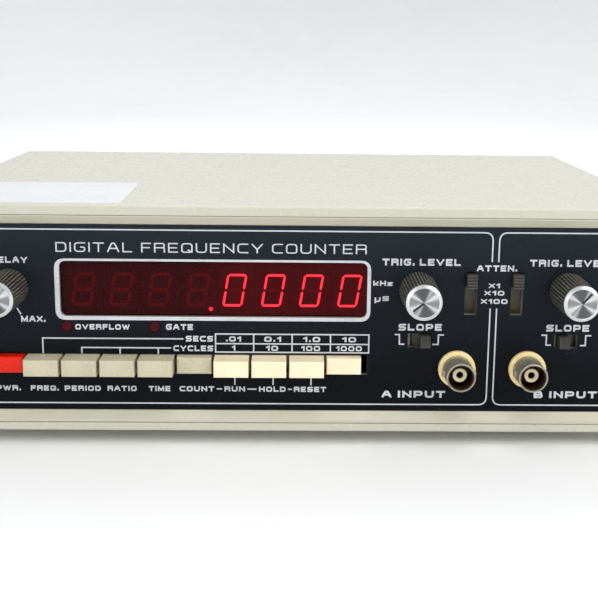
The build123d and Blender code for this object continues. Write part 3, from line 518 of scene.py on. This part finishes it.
# Push keys. Small injection-moulded caps: red for power, four grey-beige and one pressed for the
# functions, cream for the run controls. Edges are softly worn and slightly glossy.
cap_finish = dict(rough=0.36, blotch=7.0, grain=0.3, depth=0.006, edge=0.25, IOR=1.52)
dress(moulded("red_key_plastic", "#EE2208", "#DC1F0A", Specular_IOR_Level=0.25, **cap_finish),
      "button_power")
dress(moulded("grey_key_plastic", "#CCC3A8", "#BCB398", **cap_finish),
      *("button_" + name for name in ("freq", "period", "ratio", "time", "count")))
dress(moulded("cream_key_plastic", "#FDF0D2", "#F6E4BC", **cap_finish),
      *("button_" + name for name in ("run", "hold", "reset", "thousand")))
dress(moulded("black_switch_phenolic", "#141414", "#1C1B19", 0.5, blotch=9.0), "switch_modules")
dress(moulded("olive_switch_board", "#8A8468", "#746E57", 0.45, blotch=5.0), "atten_switches",
      "slope_switches")
dress(moulded("black_slider_nylon", "#48463E", "#38362F", 0.4, blotch=3.0, edge=0.15),
      "atten_a_slider", "atten_b_slider", "slope_a_slider", "slope_b_slider")

# Rotary controls. Each knob is a black-brown phenolic moulding with fine ribs round it, a turned
# aluminium cap pressed into its face and a black-filled pointer slot across the cap.
pointer_fill = moulded("pointer_enamel", "#0B0B0B", "#151413", 0.35, blotch=2.0)
ribs, rib_depth = 36, 0.085
knob_profile = [(1e-3, -100.28), (5.3, -100.28), (5.75, -100.22), (5.92, -99.95), (5.97, -98.0),
                (6.1, -92.0), (6.24, -84.2), (6.3, -82.6), (6.15, -82.15), (5.0, -82.12),
                (5.0, -85.5), (1.6, -85.5), (1.6, -96.6), (1e-3, -96.6)]
knob_z = 53.7
cap_profile = [(1e-3, -101.42), (4.68, -101.42), (4.76, -101.49), (5.72, -101.02), (5.8, -100.9),
               (5.8, -100.3), (1e-3, -100.3)]
for control, x, angle in (("delay", -91.85, 240.0), ("trigger_a", 42.1, 218.0),
                          ("trigger_b", 91.85, 50.0)):
    # Rib crests are pale against the dark grooves: wear and dust on them, and a painted
    # highlight along every crest.
    phenolic = moulded(control + "_knob_phenolic", "#1C1B19", "#2A2824", 0.38, blotch=4.0,
                       grain=0.2, depth=0.006, IOR=1.55)
    tree = phenolic.node_tree
    shader = tree.nodes["Principled BSDF"]
    place = add(tree, "TexCoord", {}).outputs["Object"]
    point = add(tree, "VectorMath", {0: place, "Scale": 1000.0}, operation="SCALE").outputs[0]
    apart = add(tree, "SeparateXYZ", {0: from_axis(tree, point, x, knob_z)})
    around = add(tree, "Math", {0: apart.outputs[2], 1: apart.outputs[0]}, operation="ARCTAN2")
    phase = add(tree, "Math", {0: around.outputs[0], 1: float(ribs)}, operation="MULTIPLY")
    crest = add(tree, "Math", {0: phase.outputs[0]}, operation="COSINE").outputs[0]
    crest_sheen_and_wear = between(tree, crest, -0.2, 0.9, 0.1, 1.0)
    flecks = between(tree, noise(tree, point, 1.2, 4.0), 0.4, 0.65, 0.15, 0.7)
    dust_and_crest_sheen = add(tree, "Math", {0: crest_sheen_and_wear, 1: flecks}, operation="MULTIPLY").outputs[0]
    bare = shader.inputs["Base Color"].links[0].from_socket
    tree.links.new(mixed(tree, dust_and_crest_sheen, bare, linear("#A09A8C")), shader.inputs["Base Color"])
    ribbed = turned(knob_profile, ribs * 10, (x, knob_z),
                    lambda i, a: 1 - rib_depth * np.where((i > 2) & (i < 8), 1, 0)
                    * (0.5 - 0.5 * np.cos(ribs * a)) ** 2)
    knob = solid(control + "_knob_ribbed", [ribbed], phenolic, smooth=True)
    knob.data.set_sharp_from_angle(angle=math.radians(40))
    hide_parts(control + "_knob")
    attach(knob, control + "_control")
    way = np.array([math.cos(math.radians(angle)), math.sin(math.radians(angle))])
    side = np.array([-way[1], way[0]]) * 0.36
    line = np.array([way * 0.1, way * 4.4]) + (x, knob_z)
    inlay = solid(control + "_pointer", [band(line + side, line - side, -101.44, -101.3, False)],
                  pointer_fill)
    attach(inlay, control + "_control")
    # The lathe's circular marks throw the light into bright spokes with grey sectors between
    # them; the spokes and the bright bevelled rim all round are painted highlights in the base
    # colour.
    turned_face, tree, shader, point = material(control + "_turned_aluminium", Metallic=1.0,
                                                Roughness=0.28, Anisotropic=0.6)
    flat = from_axis(tree, point, x, knob_z)
    radial = add(tree, "VectorMath", {0: flat}, operation="NORMALIZE")
    painted_spokes = 0.0
    for spoke_angle, sharpness, strength in ((30, 40.0, 1.0), (148, 60.0, 0.8), (8, 3.0, 0.3),
                                             (60, 90.0, 0.5)):
        aim = (math.cos(math.radians(spoke_angle)), 0.0, math.sin(math.radians(spoke_angle)))
        facing = add(tree, "VectorMath", {0: radial.outputs[0], 1: aim}, operation="DOT_PRODUCT")
        size = add(tree, "Math", {0: facing.outputs["Value"]}, operation="ABSOLUTE")
        peak = add(tree, "Math", {0: size.outputs[0], 1: sharpness}, operation="POWER")
        painted_spokes = add(tree, "Math", {0: peak.outputs[0], 1: strength, 2: painted_spokes},
                    operation="MULTIPLY_ADD").outputs[0]
    reach = add(tree, "VectorMath", {0: flat}, operation="LENGTH").outputs["Value"]
    painted_rim_highlight = between(tree, reach, 4.66, 4.74, 0.0, 1.0)
    painted_cap_highlights = add(tree, "Math", {0: painted_spokes, 1: painted_rim_highlight}, operation="MAXIMUM").outputs[0]
    tree.links.new(mixed(tree, painted_cap_highlights, linear("#5A5D5F"), linear("#D6D8D8")),
                   shader.inputs["Base Color"])
    along = add(tree, "VectorMath", {0: flat, 1: (0.0, 1.0, 0.0)}, operation="CROSS_PRODUCT")
    seen = add(tree, "VectorTransform", {0: along.outputs[0]}, vector_type="VECTOR",
               convert_from="OBJECT", convert_to="WORLD")
    tree.links.new(seen.outputs[0], shader.inputs["Tangent"])
    groove = add(tree, "Math", {0: reach, 1: 26.0}, operation="MULTIPLY")
    wave = add(tree, "Math", {0: groove.outputs[0]}, operation="SINE")
    fine = add(tree, "Bump", {"Height": wave.outputs[0], "Distance": 2e-6})
    tree.links.new(fine.outputs[0], shader.inputs["Normal"])
    cap = solid(control + "_turned_cap", [turned(cap_profile, 96, (x, knob_z))], turned_face,
                smooth=True)
    cap.data.set_sharp_from_angle(angle=math.radians(20))
    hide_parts(control + "_knob_cap")
    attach(cap, control + "_control")

# Coaxial inputs. Nickel-plated brass barrels with bayonet lugs, dulled by handling, standing on
# moulded cream washers; a pale plastic core with a gilt contact inside, painted dark as shade.
socket_z = 26.75
painted_bore_shade_edge = 4.15, 4.5  # the painted shade inside the bore ends and the bare plate begins, radius in mm
for socket, x in (("input_a", 55.95), ("input_b", 79.6)):
    nickel, tree, shader, point = material(socket + "_worn_nickel_plate", Metallic=0.75, IOR=2.0)
    tarnish = between(tree, noise(tree, point, 3.0, 5.0), 0.35, 0.7, 0.0, 1.0)
    plate = mixed(tree, tarnish, linear("#B4B2A4"), linear("#969385"))
    flat = from_axis(tree, point, x, socket_z)
    reach = add(tree, "VectorMath", {0: flat}, operation="LENGTH").outputs["Value"]
    outside_painted_bore_shade = between(tree, reach, *painted_bore_shade_edge, 0.0, 1.0)
    # Painted shade: the bore within that radius is painted dark brown, for the shade down the hole.
    tree.links.new(mixed(tree, outside_painted_bore_shade, linear("#4A3418"), plate), shader.inputs["Base Color"])
    tree.links.new(between(tree, tarnish, 0.0, 1.0, 0.42, 0.6), shader.inputs["Roughness"])
    soft = add(tree, "Bevel", {"Radius": 0.0002}, samples=4)
    tree.links.new(soft.outputs[0], shader.inputs["Normal"])
    dress(nickel, socket + "_shell")
dress(moulded("cream_washer_nylon", "#FFEAB4", "#FDDA90", 0.3, blotch=5.0, edge=0.2,
              Subsurface_Weight=0.2, Subsurface_Radius=(0.003, 0.002, 0.001)),
      "input_washers")
dress(moulded("socket_core_plastic", "#FFF4CC", "#F8EABC", 0.4, blotch=2.0), "input_cores")
# Painted shade: the gilt contact is painted dark brown, for the shade deep in the core's hole.
contact, tree, shader, point = material("gilt_contact_painted_dark", Metallic=1.0, Roughness=0.45,
                                        Base_Color=linear("#3E2F1C"))
dress(contact, "input_contacts")


# Label. A blank adhesive paper sheet stuck on the left of the top cover, a little out of square.
label_paper = moulded("white_label_paper", "#D9DBDD", "#D1D4D6", 0.6, blotch=20.0, grain=0.15,
                      depth=0.01)
label_across, label_deep, label_turn = 66.0, 54.5, math.radians(1.0)
label_edge, _ = rounded([(-label_across, 0), (0, 0), (0, label_deep), (-label_across, label_deep),
                         (-label_across, 0)], 1.5)
spin = np.array([[math.cos(label_turn), math.sin(label_turn)],
                 [-math.sin(label_turn), math.cos(label_turn)]])
label_corner = -55.4, -79.4
label_under, label_top = 81.19, 81.32
label_edge = label_edge @ spin + label_corner
n = len(label_edge)
label_points = np.vstack([np.insert(label_edge, 2, z, axis=1) for z in (label_under, label_top)])
label_faces = [list(range(n)), list(range(n, 2 * n))]
label_faces += [[i, (i + 1) % n, n + (i + 1) % n, n + i] for i in range(n)]
label = solid("paper_label", [(label_points, label_faces)], label_paper)
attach(label, "case")

# Sheet metal and hardware. The rear panel and switch frame are plain sheet, the screws are plated
# steel and the shafts are turned rod, each with the streaks that its making leaves.
for name, code, streak, rough, nodes in (
    ("brushed_aluminium_sheet", "#B4B6B6", (0.15, 12.0, 12.0), 0.38, ("rear_panel",)),
    ("zinc_plated_steel", "#A9AAA2", (1.5, 1.5, 8.0), 0.4, ("switch_frame",)),
    ("plated_screw_steel", "#9C9C98", (1.0, 1.0, 0.2), 0.32,
     ("case_screws", "board_screws", "potentiometers", "panel_nuts")),
    ("turned_shaft_rod", "#C2C3C3", (1.0, 0.15, 1.0), 0.28,
     ("delay_shaft", "trigger_a_shaft", "trigger_b_shaft")),
    ("drawn_crystal_can", "#C9CACA", (3.0, 3.0, 6.0), 0.25, ("reference_crystal",)),
    ("black_anodised_sink", "#26272A", (8.0, 8.0, 0.3), 0.45, ("heat_sink",)),
):
    metal, tree, shader, point = material(name, Metallic=1.0)
    rate = tuple(1 / s for s in streak)
    grain = add(tree, "VectorMath", {0: point, 1: rate}, operation="MULTIPLY").outputs[0]
    drawn = add(tree, "TexNoise", {"Vector": grain, "Scale": 1.0, "Detail": 4.0}).outputs[0]
    shade = mixed(tree, between(tree, drawn, 0.3, 0.7, 0.0, 0.25), linear(code), linear("#4C4C4A"))
    tree.links.new(shade, shader.inputs["Base Color"])
    tree.links.new(between(tree, drawn, 0.3, 0.7, 0.8 * rough, 1.2 * rough),
                   shader.inputs["Roughness"])
    dress(metal, *nodes)

# Rubber, boards and the parts inside, each in the colour and finish of the real component.
for name, base, aged, rough, blotch, nodes in (
    ("black_foot_rubber", "#181817", "#262523", 0.75, 6.0, ("feet",)),
    ("black_fitting_nylon", "#1B1B1A", "#242321", 0.45, 8.0,
     ("fuse_holder", "fuse_cap", "cord_gland")),
    ("green_solder_resist", "#2F5A33", "#3E6B3C", 0.35, 12.0, ("main_board", "display_board")),
    ("natural_nylon", "#DCD9CB", "#CFCBB8", 0.4, 5.0, ("display_spacers",)),
    ("chip_epoxy", "#1E1E1F", "#29292A", 0.55, 5.0, ("logic_chips", "regulator")),
    ("varnished_laminations", "#4A433B", "#5C5347", 0.45, 4.0, ("transformer_core",)),
    ("yellow_winding_tape", "#C9A24A", "#B58D38", 0.3, 9.0, ("transformer_winding",)),
    ("blue_capacitor_sleeve", "#2A4A86", "#20396B", 0.3, 10.0, ("reservoir_capacitors",)),
    ("fuse_glass_and_caps", "#C6CACA", "#B2B6B6", 0.2, 4.0, ("fuse",)),
):
    dress(moulded(name, base, aged, rough, blotch=blotch), *nodes)
